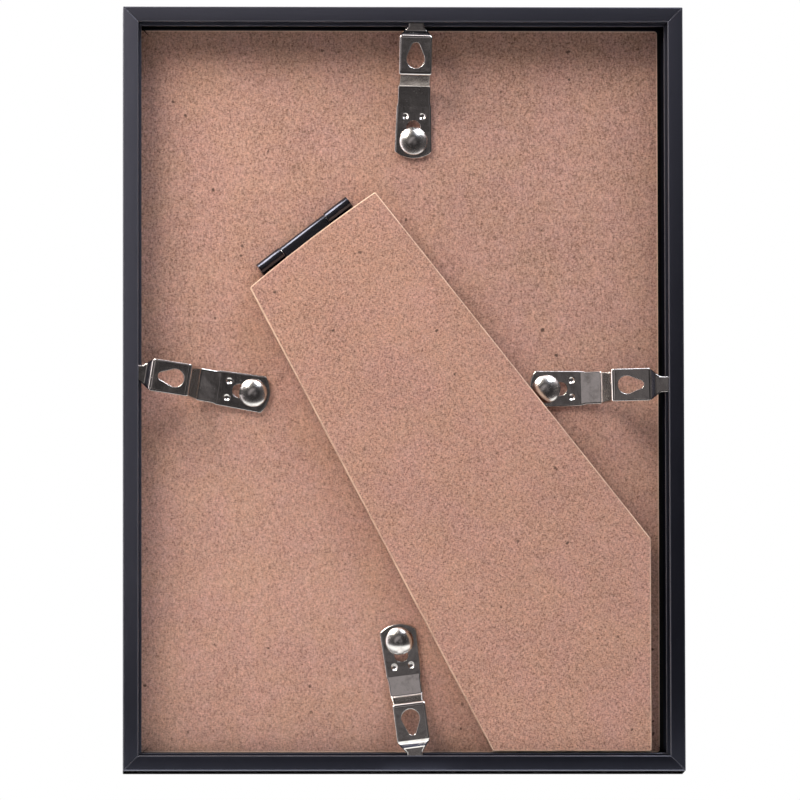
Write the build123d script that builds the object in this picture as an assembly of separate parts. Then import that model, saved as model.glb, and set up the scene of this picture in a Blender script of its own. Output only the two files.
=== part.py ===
from build123d import *
from math import cos, pi, radians, sin, tan
import os

# Easel back photo frame for 13 x 18 cm pictures, standing upright, sizes in millimetres.
# The picture faces -Y and the back faces +Y. Left and right are as seen from behind: left is +X.

# Rails
FRAME_WIDTH = 139.0
FRAME_HEIGHT = 190.0
RAIL_BACK_WIDTH = 3.8
RAIL_FRONT_WIDTH = 9.0
RAIL_OUTER_WALL = 1.0
RAIL_INNER_WALL = 1.1
FRONT_THICKNESS = 2.2
FLANGE_THICKNESS = 1.2
GROOVE_PLAY = 0.4
GROOVE_LIP = 0.8
LIP_THICKNESS = 1.0
FRONT_OUTER_ROUND = 1.2
FRONT_INNER_ROUND = 0.8
BACK_EDGE_ROUND = 0.35

# Corner keys inside the rails
KEY_ARM = 24.0
KEY_CLEARANCE = 0.1
KEY_TIP_CHAMFER = 0.5

# Glass, picture sheet and back panel
GLASS_THICKNESS = 2.0
GLASS_CLEARANCE = 0.4
INSERT_THICKNESS = 0.3
PANEL_THICKNESS = 2.5
PANEL_CLEARANCE = 0.5
PANEL_SHIFT_LEFT = 0.9
PANEL_CORNER_ROUND = 0.8

# Turn clips: lengths run from the rivet to the tip of the tongue
CLIP_SHEET = 0.6
CLIP_TAIL = 4.3
CLIP_TAIL_CROWN = 1.7
CLIP_TAIL_ROUND = 0.8
CLIP_BASE_LENGTH = 8.6
CLIP_RAMP_LENGTH = 5.3
CLIP_STEP_LENGTH = 2.3
CLIP_PLATE_LENGTH = 9.2
CLIP_SHOULDER_LENGTH = 2.8
CLIP_TONGUE_LENGTH = 2.8
CLIP_BASE_WIDTH = 9.3
CLIP_BASE_TAPER = 0.3
CLIP_PLATE_WIDTH = 8.1
CLIP_FLARE_LENGTH = 1.2
CLIP_TONGUE_WIDTH = 3.9
CLIP_TIP_ROUND = 0.8
CLIP_SHOULDER_ROUND = 1.0
CLIP_BASE_GAP = 0.3
CLIP_RAMP_RISE = 0.8
CLIP_TONGUE_HEIGHT = 5.8
CLIP_PLATE_STEP = 1.2
CLIP_DROP_LENGTH = 1.4
CLIP_BEND_RADIUS = 0.9
CLIP_SLIDE = 3.5
SLOT_CLEARANCE = 0.15
DIMPLE_DIAMETER = 1.8
DIMPLE_FLOOR_DIAMETER = 0.8
DIMPLE_DEPTH = 0.35
DIMPLE_SPACING = 4.2
DIMPLE_TO_BEND = 2.3
DIMPLE_PANEL_GAP = 0.05

# Pear shaped hanging hole in the raised plate of a clip
PEAR_WIDE_RADIUS = 2.2
PEAR_NARROW_RADIUS = 1.0
PEAR_LENGTH = 6.4
PEAR_FROM_STEP = 1.3

# Domed rivets
RIVET_HEAD_DIAMETER = 7.0
RIVET_HEAD_RISE = 1.6
RIVET_RIM = 0.25
RIVET_SHANK_DIAMETER = 3.0
RIVET_PLAY = 0.1
RIVET_HOLE_CLEARANCE = 0.1
RIVET_TAIL_DIAMETER = 5.2
RIVET_TAIL_DEPTH = 1.2

# Where each rivet stands: its offset along that side, the lean of its clip, and the room that is left
# between the tip of the tongue and the bottom of the groove when the clip stands square to the rail
TOP_OFFSET = 2.7
TOP_LEAN = -1.2
TOP_TIP_GAP = 0.8
LEFT_OFFSET = -0.7
LEFT_LEAN = -9.0
LEFT_TIP_GAP = 0.3
RIGHT_OFFSET = 0.3
RIGHT_LEAN = 1.5
RIGHT_TIP_GAP = 1.9
BOTTOM_OFFSET = -1.0
BOTTOM_LEAN = 7.3
BOTTOM_TIP_GAP = 0.6

# Hinge of the strut, on a diagonal of the panel
HINGE_FROM_CENTRE_RIGHT = -24.4
HINGE_FROM_CENTRE_UP = 38.4
HINGE_ANGLE = 37.5
HINGE_LENGTH = 28.0
HINGE_END_KNUCKLE = 7.0
HINGE_KNUCKLE_GAP = 0.15
HINGE_PIN_DIAMETER = 1.8
HINGE_PIN_CLEARANCE = 0.05
PANEL_LEAF_SHEET = 0.65
STRUT_LEAF_SHEET = 0.45
LEAF_LENGTH = 15.0
LEAF_CORNER_ROUND = 2.0
LEAF_NOTCH_CLEARANCE = 0.4
CURL_WRAP = 280.0
CLAW_WIDTH = 2.2
CLAW_LENGTH = 1.6
CLAW_CLEARANCE = 0.05
CLAW_EDGE = 2.6

# Strut
STRUT_THICKNESS = 2.6
STRUT_TOP_WIDTH = 39.2
STRUT_FOOT_WIDTH = 39.2
STRUT_TOP_CROWN = 0.5
STRUT_TOP_GAP = 0.6
STRUT_OFFSET = 0.7
STRUT_EDGE_ANGLE = 51.7
STRUT_SIDE_GAP = 4.5
STRUT_FOOT_GAP = 0.4
STRUT_CORNER_ROUND = 0.8

# Sides of the small cones: dimples, and the rivets' hidden tails
CONE_SIDES = 12

# How near a corner has to be to the place that it is picked by
CORNER_TOLERANCE = 0.01

# Levels from the front of the frame to its back, along Y
RECESS_DEPTH = CLIP_TONGUE_HEIGHT + CLIP_SHEET + GROOVE_PLAY + FLANGE_THICKNESS
RAIL_DEPTH = FRONT_THICKNESS + GLASS_THICKNESS + INSERT_THICKNESS + PANEL_THICKNESS + RECESS_DEPTH
FRONT_Y = -RAIL_DEPTH / 2
GLASS_Y = FRONT_Y + FRONT_THICKNESS
INSERT_Y = GLASS_Y + GLASS_THICKNESS
PANEL_FRONT_Y = INSERT_Y + INSERT_THICKNESS
PANEL_BACK_Y = PANEL_FRONT_Y + PANEL_THICKNESS
BACK_Y = RAIL_DEPTH / 2
GROOVE_TOP_Y = BACK_Y - FLANGE_THICKNESS
GROOVE_FLOOR_Y = GROOVE_TOP_Y - CLIP_SHEET - 2 * GROOVE_PLAY
LIP_Y = GROOVE_FLOOR_Y - LIP_THICKNESS

# Places along a clip, from the rivet
BASE_END = CLIP_BASE_LENGTH
RAMP_END = BASE_END + CLIP_RAMP_LENGTH
PLATE_START = RAMP_END + CLIP_STEP_LENGTH
PLATE_END = PLATE_START + CLIP_PLATE_LENGTH
SHOULDER_END = PLATE_END + CLIP_SHOULDER_LENGTH
CLIP_REACH = SHOULDER_END + CLIP_TONGUE_LENGTH

# Sizes that follow from the ones above
LIP_EDGE = RAIL_BACK_WIDTH + GROOVE_LIP
SHANK_RADIUS = RIVET_SHANK_DIAMETER / 2
CONE_CORNER_REACH = 1 / cos(pi / CONE_SIDES)
TAIL_NECK_RADIUS = SHANK_RADIUS * CONE_CORNER_REACH
BORE_RADIUS = HINGE_PIN_DIAMETER / 2 + HINGE_PIN_CLEARANCE
PANEL_BARREL = BORE_RADIUS + PANEL_LEAF_SHEET
STRUT_BARREL = BORE_RADIUS + STRUT_LEAF_SHEET
LEAF_NOTCH = PANEL_BARREL + LEAF_NOTCH_CLEARANCE
STRUT_HEIGHT = PANEL_BARREL + STRUT_BARREL

# The panel's back face as seen from behind: x runs right, y runs up and z stands out of the panel.
BACK_PLANE = Plane((0, PANEL_BACK_Y, FRAME_HEIGHT / 2), x_dir=(-1, 0, 0), z_dir=(0, 1, 0))
HINGE_PLACE = (
    BACK_PLANE.location
    * Pos(HINGE_FROM_CENTRE_RIGHT, HINGE_FROM_CENTRE_UP, PANEL_BARREL)
    * Rot(0, 0, HINGE_ANGLE)
)


def rivet_place(side, offset, tip_gap):
    """Right and up of a rivet from the frame's centre, so that its clip's tongue enters the groove."""
    half = FRAME_HEIGHT / 2 if side in ("top", "bottom") else FRAME_WIDTH / 2
    out = half - RAIL_OUTER_WALL - tip_gap - CLIP_REACH
    places = {"top": (offset, out), "bottom": (offset, -out), "left": (-out, offset), "right": (out, offset)}
    return places[side]


def clip_places():
    """Location of every clip on the panel: its x axis runs from the rivet to the tongue."""
    layout = {
        "top": (90, TOP_OFFSET, TOP_LEAN, TOP_TIP_GAP),
        "left": (180, LEFT_OFFSET, LEFT_LEAN, LEFT_TIP_GAP),
        "right": (0, RIGHT_OFFSET, RIGHT_LEAN, RIGHT_TIP_GAP),
        "bottom": (270, BOTTOM_OFFSET, BOTTOM_LEAN, BOTTOM_TIP_GAP),
    }
    places = {}
    for side, (heading, offset, lean, tip_gap) in layout.items():
        right, up = rivet_place(side, offset, tip_gap)
        places[side] = BACK_PLANE.location * Pos(right, up, 0) * Rot(0, 0, heading + lean)
    return places


def corners_at(outline, along):
    """Corners of a flat outline that lie at the given x."""
    return outline.vertices().filter_by(lambda corner: abs(corner.X - along) < CORNER_TOLERANCE)


def flat_sided_cone(low_radius, high_radius, height):
    """Cone from z = 0 up, with flat sides and the radii of its corners."""
    turns = [2 * pi * step / CONE_SIDES for step in range(CONE_SIDES)]
    rings = ((low_radius, 0), (high_radius, height))
    corners = [(r * cos(turn), r * sin(turn), z) for r, z in rings for turn in turns]
    return ConvexPolyhedron(corners, align=None)


def rail_section():
    """Hollow rail profile with its outer face on z = 0: flange, groove, lip, rebate and front lip."""
    outline = make_face(
        Polyline(
            (FRONT_Y, 0),
            (BACK_Y, 0),
            (BACK_Y, RAIL_BACK_WIDTH),
            (GROOVE_TOP_Y, RAIL_BACK_WIDTH),
            (GROOVE_TOP_Y, RAIL_OUTER_WALL),
            (GROOVE_FLOOR_Y, RAIL_OUTER_WALL),
            (GROOVE_FLOOR_Y, LIP_EDGE),
            (LIP_Y, LIP_EDGE),
            (LIP_Y, RAIL_BACK_WIDTH),
            (GLASS_Y, RAIL_BACK_WIDTH),
            (GLASS_Y, RAIL_FRONT_WIDTH),
            (FRONT_Y, RAIL_FRONT_WIDTH),
            close=True,
        )
    )
    outline = fillet(corners_at(outline, FRONT_Y).sort_by(Axis.Y)[0], FRONT_OUTER_ROUND)
    outline = fillet(corners_at(outline, FRONT_Y).sort_by(Axis.Y)[-1], FRONT_INNER_ROUND)
    outline = fillet(corners_at(outline, BACK_Y), BACK_EDGE_ROUND)
    chamber_width = RAIL_BACK_WIDTH - RAIL_OUTER_WALL - RAIL_INNER_WALL
    chamber = Rectangle(LIP_Y - GLASS_Y, chamber_width)
    return outline - Pos((GLASS_Y + LIP_Y) / 2, RAIL_OUTER_WALL + chamber_width / 2) * chamber


def rail(length):
    """One rail along X, mitred at 45 degrees, with its outer face on z = 0."""
    bar = extrude(Plane.YZ * rail_section(), length / 2, both=True)
    outer, inner, height = length / 2, length / 2 - RAIL_FRONT_WIDTH, RAIL_FRONT_WIDTH
    mitre = make_face(Polyline((-outer, 0), (outer, 0), (inner, height), (-inner, height), close=True))
    return bar & extrude(Plane.XZ * mitre, RAIL_DEPTH, both=True)


def rails():
    """The four rails, turned about Y from the bottom one."""
    centre = Pos(0, 0, FRAME_HEIGHT / 2)
    level, upright = rail(FRAME_WIDTH), rail(FRAME_HEIGHT)
    return {
        "rail_bottom": level,
        "rail_top": centre * Rot(0, 180, 0) * Pos(0, 0, -FRAME_HEIGHT / 2) * level,
        "rail_right": centre * Rot(0, 90, 0) * Pos(0, 0, -FRAME_WIDTH / 2) * upright,
        "rail_left": centre * Rot(0, -90, 0) * Pos(0, 0, -FRAME_WIDTH / 2) * upright,
    }


def corner_key():
    """Angle key for the hollow of two rails, with the frame's outer corner at the origin."""
    near = RAIL_OUTER_WALL + KEY_CLEARANCE
    far = RAIL_BACK_WIDTH - RAIL_INNER_WALL - KEY_CLEARANCE
    level_arm = [(near, near), (KEY_ARM, near), (KEY_ARM, far), (far, far)]
    upright_arm = [(far, KEY_ARM), (near, KEY_ARM)]
    outline = make_face(Polyline(*level_arm, *upright_arm, close=True))
    tips = outline.vertices().filter_by(lambda corner: max(corner.X, corner.Y) > KEY_ARM - CORNER_TOLERANCE)
    outline = chamfer(tips, min(KEY_TIP_CHAMFER, (far - near) / 3))
    depth = LIP_Y - GLASS_Y - 2 * KEY_CLEARANCE
    return extrude(Plane((0, LIP_Y - KEY_CLEARANCE, 0), x_dir=(1, 0, 0), z_dir=(0, -1, 0)) * outline, depth)


def corner_keys():
    """The key turned into each of the four corners."""
    side = FRAME_WIDTH / 2
    corners = {
        "bottom_right": (-side, 0, 0),
        "top_right": (-side, FRAME_HEIGHT, 90),
        "top_left": (side, FRAME_HEIGHT, 180),
        "bottom_left": (side, 0, 270),
    }
    keys = {}
    for name, (x, z, turn) in corners.items():
        keys[f"corner_key_{name}"] = Pos(x, 0, z) * Rot(0, turn, 0) * corner_key()
    return keys


def sheet(width, height, front_y, thickness, corner_round=0.0):
    """Upright flat sheet, centred in the frame, standing from front_y towards the back."""
    outline = RectangleRounded(width, height, corner_round) if corner_round else Rectangle(width, height)
    face = Plane((0, front_y, FRAME_HEIGHT / 2), x_dir=(-1, 0, 0), z_dir=(0, 1, 0))
    return extrude(face * outline, thickness)


def opening_size(clearance):
    """Width and height of a sheet that passes the groove lips with the given clearance all round."""
    return FRAME_WIDTH - 2 * (LIP_EDGE + clearance), FRAME_HEIGHT - 2 * (LIP_EDGE + clearance)


def rivet_bores():
    """What a rivet needs out of the panel: a hole for its shank and a countersink for its flared tail."""
    hole = Cylinder(SHANK_RADIUS + RIVET_HOLE_CLEARANCE, 2 * PANEL_THICKNESS)
    depth = RIVET_TAIL_DEPTH + RIVET_PLAY
    flare = (RIVET_TAIL_DIAMETER / 2 - TAIL_NECK_RADIUS) * depth / RIVET_TAIL_DEPTH
    neck = (TAIL_NECK_RADIUS + RIVET_HOLE_CLEARANCE) * CONE_CORNER_REACH
    countersink = flat_sided_cone(neck + flare * CONE_CORNER_REACH, neck, depth)
    return hole + Pos(0, 0, -PANEL_THICKNESS) * countersink


def claws(sheet_thickness, height, direction, clearance=0.0):
    """Four claws bent out of a hinge leaf at the given height, in the hinge's own axes."""
    length = CLAW_LENGTH + clearance
    across = HINGE_LENGTH / 2 - CLAW_EDGE
    prong = Box(CLAW_WIDTH + 2 * clearance, sheet_thickness + 2 * clearance, length)
    prongs = []
    for along in (-across, across):
        for down in (LEAF_NOTCH + CLAW_EDGE, LEAF_LENGTH - CLAW_EDGE):
            prongs.append(Pos(along, -down, height + direction * length / 2) * prong)
    return prongs


def back_panel(places):
    """Hardboard panel with the rivets' bores and the slits of the hinge claws."""
    width, height = opening_size(PANEL_CLEARANCE)
    panel = sheet(width, height, PANEL_FRONT_Y, PANEL_THICKNESS, PANEL_CORNER_ROUND)
    panel = Pos(PANEL_SHIFT_LEFT, 0, 0) * panel
    for place in places.values():
        panel -= place * rivet_bores()
    for slit in claws(PANEL_LEAF_SHEET, -PANEL_BARREL, -1, CLAW_CLEARANCE):
        panel -= HINGE_PLACE * slit
    return panel


def rivet():
    """Domed rivet on the z axis with its flared tail in the panel, whose back face is z = 0."""
    seat = CLIP_BASE_GAP + CLIP_SHEET + RIVET_PLAY
    head = RIVET_HEAD_DIAMETER / 2
    tail_end = RIVET_PLAY - PANEL_THICKNESS
    dome = TangentArc((0, seat + RIVET_HEAD_RISE), (head, seat + RIVET_RIM), tangent=(1, 0))
    side = Polyline(
        (head, seat + RIVET_RIM),
        (head, seat),
        (SHANK_RADIUS, seat),
        (SHANK_RADIUS, tail_end),
        (0, tail_end),
        (0, seat + RIVET_HEAD_RISE),
    )
    tail = flat_sided_cone(RIVET_TAIL_DIAMETER / 2, TAIL_NECK_RADIUS, RIVET_TAIL_DEPTH)
    return revolve(Plane.XZ * make_face([dome, side]), Axis.Z) + Pos(0, 0, tail_end) * tail


def clip_outline():
    """Flat outline of a clip from above: crowned tail, tapered base, plate, shoulders and tongue."""
    base, plate, tongue = CLIP_BASE_WIDTH / 2, CLIP_PLATE_WIDTH / 2, CLIP_TONGUE_WIDTH / 2
    tail_side = CLIP_TAIL_CROWN - CLIP_TAIL
    edge = [
        (tail_side, base),
        (BASE_END, base - CLIP_BASE_TAPER),
        (BASE_END + CLIP_FLARE_LENGTH, plate),
        (PLATE_END, plate),
        (SHOULDER_END, tongue),
        (CLIP_REACH, tongue),
    ]
    other_edge = [(along, -across) for along, across in reversed(edge)]
    tail = ThreePointArc((tail_side, -base), (-CLIP_TAIL, 0), (tail_side, base))
    outline = make_face([Polyline(*edge, *other_edge), tail])
    outline = fillet(corners_at(outline, CLIP_REACH), CLIP_TIP_ROUND)
    outline = fillet(corners_at(outline, PLATE_END), CLIP_SHOULDER_ROUND)
    return fillet(corners_at(outline, tail_side), CLIP_TAIL_ROUND)


def clip():
    """Turn clip bent from one strip: flat base, ramp, step, raised hanging plate, drop and tongue."""
    base = CLIP_BASE_GAP + CLIP_SHEET / 2
    tongue = CLIP_TONGUE_HEIGHT + CLIP_SHEET / 2
    plate = tongue + CLIP_PLATE_STEP
    bends = FilletPolyline(
        (-CLIP_TAIL, base),
        (BASE_END, base),
        (RAMP_END, base + CLIP_RAMP_RISE),
        (PLATE_START, plate),
        (PLATE_END, plate),
        (PLATE_END + CLIP_DROP_LENGTH, tongue),
        (CLIP_REACH, tongue),
        radius=CLIP_BEND_RADIUS,
    )
    strip = extrude(Plane.XZ * trace(bends, CLIP_SHEET), CLIP_BASE_WIDTH / 2, both=True)
    strip &= extrude(clip_outline(), plate + CLIP_SHEET)

    slot = Pos(CLIP_SLIDE / 2, 0) * SlotCenterToCenter(CLIP_SLIDE, 2 * (SHANK_RADIUS + SLOT_CLEARANCE))
    strip -= extrude(slot, base + CLIP_SHEET)

    wide = PLATE_START + PEAR_FROM_STEP + PEAR_WIDE_RADIUS
    narrow = PLATE_START + PEAR_FROM_STEP + PEAR_LENGTH - PEAR_NARROW_RADIUS
    wide_round = Pos(wide, 0) * Circle(PEAR_WIDE_RADIUS)
    narrow_round = Pos(narrow, 0) * Circle(PEAR_NARROW_RADIUS)
    pear = make_hull(wide_round.edges() + narrow_round.edges())
    strip -= Pos(0, 0, tongue) * extrude(pear, 2 * CLIP_PLATE_STEP + CLIP_SHEET)

    floor, rim = DIMPLE_FLOOR_DIAMETER / 2, DIMPLE_DIAMETER / 2
    for across in (-DIMPLE_SPACING / 2, DIMPLE_SPACING / 2):
        place = Pos(BASE_END - DIMPLE_TO_BEND, across)
        pip = flat_sided_cone(floor, rim, CLIP_BASE_GAP - DIMPLE_PANEL_GAP)
        strip += place * Pos(0, 0, DIMPLE_PANEL_GAP) * pip
        dent = flat_sided_cone(floor, rim, DIMPLE_DEPTH)
        strip -= place * Pos(0, 0, CLIP_BASE_GAP + CLIP_SHEET - DIMPLE_DEPTH) * dent
    return strip


def knuckle(sheet_thickness, start, length):
    """Sheet rolled round the pin from its leaf under the pin, along x from start, in the hinge's axes."""
    outer = BORE_RADIUS + sheet_thickness
    outside = CenterArc((0, 0), outer, -90, CURL_WRAP)
    inside = CenterArc((0, 0), BORE_RADIUS, -90, CURL_WRAP)
    curl = make_face([outside, inside, Line(outside @ 0, inside @ 0), Line(outside @ 1, inside @ 1)])
    strap = Pos(-LEAF_NOTCH / 2, sheet_thickness / 2 - outer) * Rectangle(LEAF_NOTCH, sheet_thickness)
    return extrude(Plane.YZ.offset(start) * (curl + strap), length)


def leaf_plate(sheet_thickness):
    """Flat part of a hinge leaf, lying under the pin's axis and reaching under the strut."""
    depth = LEAF_LENGTH - LEAF_NOTCH
    outline = Pos(0, -LEAF_NOTCH - depth / 2) * Rectangle(HINGE_LENGTH, depth)
    outline = fillet(outline.vertices().group_by(Axis.Y)[0], LEAF_CORNER_ROUND)
    return Pos(0, 0, -BORE_RADIUS - sheet_thickness) * extrude(outline, sheet_thickness)


def hinge_panel_leaf():
    """Leaf on the panel, with the two end knuckles and claws that point into the panel."""
    leaf = leaf_plate(PANEL_LEAF_SHEET)
    for start in (-HINGE_LENGTH / 2, HINGE_LENGTH / 2 - HINGE_END_KNUCKLE):
        leaf += knuckle(PANEL_LEAF_SHEET, start, HINGE_END_KNUCKLE)
    for claw in claws(PANEL_LEAF_SHEET, -PANEL_BARREL, -1):
        leaf += claw
    return HINGE_PLACE * leaf


def hinge_strut_leaf():
    """Leaf under the strut, the other way up, with the middle knuckle and claws that enter the strut."""
    length = HINGE_LENGTH - 2 * (HINGE_END_KNUCKLE + HINGE_KNUCKLE_GAP)
    leaf = leaf_plate(STRUT_LEAF_SHEET) + knuckle(STRUT_LEAF_SHEET, -length / 2, length)
    leaf = mirror(leaf, Plane.XY)
    for claw in claws(STRUT_LEAF_SHEET, STRUT_BARREL, 1):
        leaf += claw
    return HINGE_PLACE * leaf


def hinge_pin():
    """Straight steel pin through the three knuckles."""
    return HINGE_PLACE * Rot(0, 90, 0) * Cylinder(HINGE_PIN_DIAMETER / 2, HINGE_LENGTH)


def strut():
    """Easel leg: top edge along the hinge, a straight edge down to the side foot, and two square feet."""
    angle = radians(HINGE_ANGLE)
    along, down = Vector(cos(angle), sin(angle)), Vector(sin(angle), -cos(angle))
    hinge = Vector(HINGE_FROM_CENTRE_RIGHT, HINGE_FROM_CENTRE_UP)
    top = hinge + down * (PANEL_BARREL + STRUT_TOP_GAP) + along * STRUT_OFFSET
    top_left, top_right = top - along * (STRUT_TOP_WIDTH / 2), top + along * (STRUT_TOP_WIDTH / 2)
    side = FRAME_WIDTH / 2 - RAIL_BACK_WIDTH - STRUT_SIDE_GAP
    foot = LIP_EDGE + STRUT_FOOT_GAP - FRAME_HEIGHT / 2
    shoulder = Vector(side, top_right.Y - (side - top_right.X) * tan(radians(STRUT_EDGE_ANGLE)))
    corners = [top_right, shoulder, Vector(side, foot), Vector(side - STRUT_FOOT_WIDTH, foot), top_left]
    crown = ThreePointArc(top_left, top - down * STRUT_TOP_CROWN, top_right)
    outline = make_face([Polyline(*corners), crown])
    outline = fillet(outline.vertices(), STRUT_CORNER_ROUND)
    board = extrude(BACK_PLANE.offset(STRUT_HEIGHT) * outline, STRUT_THICKNESS)
    for slit in claws(STRUT_LEAF_SHEET, STRUT_BARREL, 1, CLAW_CLEARANCE):
        board -= HINGE_PLACE * slit
    return board


def photo_frame():
    """Every piece of the frame by its name."""
    places = clip_places()
    pieces = {**rails(), **corner_keys()}
    pieces["glass"] = sheet(*opening_size(GLASS_CLEARANCE), GLASS_Y, GLASS_THICKNESS)
    pieces["insert_sheet"] = sheet(*opening_size(GLASS_CLEARANCE), INSERT_Y, INSERT_THICKNESS)
    pieces["back_panel"] = back_panel(places)
    for side, place in places.items():
        pieces[f"rivet_{side}"] = place * rivet()
        pieces[f"clip_{side}"] = place * clip()
    pieces["hinge_panel_leaf"] = hinge_panel_leaf()
    pieces["hinge_strut_leaf"] = hinge_strut_leaf()
    pieces["hinge_pin"] = hinge_pin()
    pieces["strut"] = strut()
    return pieces


os.makedirs("parts", exist_ok=True)
for name, piece in photo_frame().items():
    export_step(piece, f"parts/{name}.step")
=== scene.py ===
# %% [markdown]
# # The back of an easel photo frame
# Seen from behind, a slim black frame shows four mitred rails, a hardboard panel held in by four plated
# turn clips, and a two way hardboard strut on a rolled hinge.
# The CAD model fixes every size and place, so nothing of it is moved here. It could simply be painted, but
# its edges are bare and its bends are coarse. So the pieces that the eye rests on get a finer skin, which
# takes its CAD solid's place and rides on the same body, and the rest only get a better finish.

import bmesh
import bpy
import numpy as np
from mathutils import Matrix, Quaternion, Vector


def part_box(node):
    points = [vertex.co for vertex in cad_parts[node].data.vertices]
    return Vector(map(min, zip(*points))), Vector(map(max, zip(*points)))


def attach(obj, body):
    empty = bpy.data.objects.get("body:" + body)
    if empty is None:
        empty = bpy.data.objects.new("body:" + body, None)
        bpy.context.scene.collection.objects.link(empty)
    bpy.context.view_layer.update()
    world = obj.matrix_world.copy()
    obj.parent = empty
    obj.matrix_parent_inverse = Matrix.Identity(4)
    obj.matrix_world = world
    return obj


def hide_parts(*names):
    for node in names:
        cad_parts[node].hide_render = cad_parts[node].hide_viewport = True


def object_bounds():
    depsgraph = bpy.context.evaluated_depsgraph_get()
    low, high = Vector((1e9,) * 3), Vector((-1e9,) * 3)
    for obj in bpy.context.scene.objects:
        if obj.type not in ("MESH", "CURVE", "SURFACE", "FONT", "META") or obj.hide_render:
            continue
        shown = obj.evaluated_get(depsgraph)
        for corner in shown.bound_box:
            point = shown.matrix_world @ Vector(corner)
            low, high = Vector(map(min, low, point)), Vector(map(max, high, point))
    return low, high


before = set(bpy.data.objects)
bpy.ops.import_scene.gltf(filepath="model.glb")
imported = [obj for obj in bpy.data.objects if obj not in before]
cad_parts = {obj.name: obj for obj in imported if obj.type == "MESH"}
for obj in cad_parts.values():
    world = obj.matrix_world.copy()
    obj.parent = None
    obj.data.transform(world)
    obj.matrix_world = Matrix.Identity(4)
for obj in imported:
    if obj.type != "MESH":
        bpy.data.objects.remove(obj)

MM = 0.001
cad_low, cad_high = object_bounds()
WIDTH, DEPTH, HEIGHT = (np.array(cad_high) - np.array(cad_low)) / MM
PANEL_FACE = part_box("back_panel")[1].y / MM
print(f"frame {WIDTH:.1f} x {HEIGHT:.1f} x {DEPTH:.1f} mm, panel face at depth {PANEL_FACE:.2f}")

# %% [markdown]
# ## Finishes as expressions
# A finish is a network of shader nodes. It could be clicked together in the editor, but in a script the
# sums read better as sums. `Signal` wraps a socket, so that `1 - mask` adds the Math node it stands for,
# and `Finish` has one method that makes any other node from its type, its settings and its inputs.

# %% Signals and finishes
class Signal:
    """A value that changes over a surface; Python's operators add the Math nodes."""

    def __init__(self, finish, socket):
        self.finish, self.socket = finish, socket

    def math(self, operation, first, second):
        return self.finish.add("ShaderNodeMath", {"operation": operation}, {0: first, 1: second})

    def __add__(self, other):
        return self.math("ADD", self, other)

    def __sub__(self, other):
        return self.math("SUBTRACT", self, other)

    def __mul__(self, other):
        return self.math("MULTIPLY", self, other)

    def __rsub__(self, other):
        return self.math("SUBTRACT", other, self)

    __radd__, __rmul__ = __add__, __mul__

    def larger(self, other):
        return self.math("MAXIMUM", self, other)

    def size(self):
        """The value without its sign."""
        return self.math("ABSOLUTE", self, 0.0)

    def rise(self, low, high):
        """0 below low, 1 above high, and a smooth step between."""
        return self.finish.add("ShaderNodeMapRange", {"interpolation_type": "SMOOTHSTEP"},
                               {0: self, 1: low, 2: high, 3: 0.0, 4: 1.0})


class Finish:
    """A material whose nodes come from add() and whose surface is set by paint(), glow() or wear()."""

    def __init__(self, name, tree=None):
        self.material = None
        if tree is None:
            self.material = bpy.data.materials.new(name)
            self.material.use_nodes = True
            tree = self.material.node_tree
        self.tree = tree
        self.tree.nodes.clear()

    def add(self, kind, settings=None, inputs=None, output=0):
        """Any node: settings first, then its inputs as values or links; gives back one output."""
        node = self.tree.nodes.new(kind)
        for key, value in (settings or {}).items():
            setattr(node, key, value)
        for key, value in (inputs or {}).items():
            if isinstance(value, Signal):
                self.tree.links.new(value.socket, node.inputs[key])
            else:
                node.inputs[key].default_value = value
        return Signal(self, node.outputs[output]) if node.outputs else None

    def place(self, stretch=(1, 1, 1), turn=(0, 0, 0)):
        """Object coordinates, in metres, stretched and turned for a pattern."""
        point = self.add("ShaderNodeTexCoord", output="Object")
        return self.add("ShaderNodeMapping", inputs={"Vector": point, "Scale": stretch, "Rotation": turn})

    def axes(self, letters):
        """The object coordinates that the letters name, in metres."""
        point = self.add("ShaderNodeTexCoord", output="Object")
        return [self.add("ShaderNodeSeparateXYZ", inputs={0: point}, output=letter) for letter in letters]

    def mark(self, name):
        """An attribute that a piece carries on its points."""
        return self.add("ShaderNodeAttribute", {"attribute_name": name}, output="Fac")

    def noise(self, size, detail=2.0, rough=0.5, where=None):
        """Cloudy noise from 0 to 1, whose lumps are about size millimetres wide."""
        return self.add("ShaderNodeTexNoise", inputs={
            "Vector": where or self.place(), "Scale": 1 / (size * MM), "Detail": detail, "Roughness": rough})

    def mix(self, share, first, second):
        """One colour going over to another as share goes from 0 to 1."""
        return self.add("ShaderNodeMix", {"data_type": "RGBA"}, {0: share, 6: first, 7: second}, 2)

    def bump(self, height, depth):
        """A normal tilted by a height signal, whose full swing is depth millimetres."""
        return self.add("ShaderNodeBump", inputs={"Height": height, "Distance": depth * MM, "Strength": 1.0})

    def wear(self, surface):
        """Links a surface shader to the output and gives back the material."""
        self.add("ShaderNodeOutputMaterial", inputs={"Surface": surface})
        return self.material

    def paint(self, **sockets):
        """The usual surface shader; underscores in a socket's name stand for spaces."""
        inputs = {name.replace("_", " "): value for name, value in sockets.items()}
        return self.wear(self.add("ShaderNodeBsdfPrincipled", inputs=inputs))

    def glow(self, strength, colour=(1, 1, 1), most=4.0):
        """A surface that only gives light: its colour goes from black to most times the colour given."""
        full = (*(part * most for part in colour), 1)
        shine = self.mix(strength * (1 / most), (0, 0, 0, 1), full)
        return self.wear(self.add("ShaderNodeEmission", inputs={"Color": shine}))


def srgb(red, green, blue):
    """A linear colour from the 0 to 255 numbers that an image editor shows."""
    shown = np.array([red, green, blue]) / 255
    linear = np.where(shown < 0.04045, shown / 12.92, ((shown + 0.055) / 1.055) ** 2.4)
    return (*linear.tolist(), 1.0)


print("mid brown, linear:", [round(part, 3) for part in srgb(196, 152, 132)])

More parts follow.
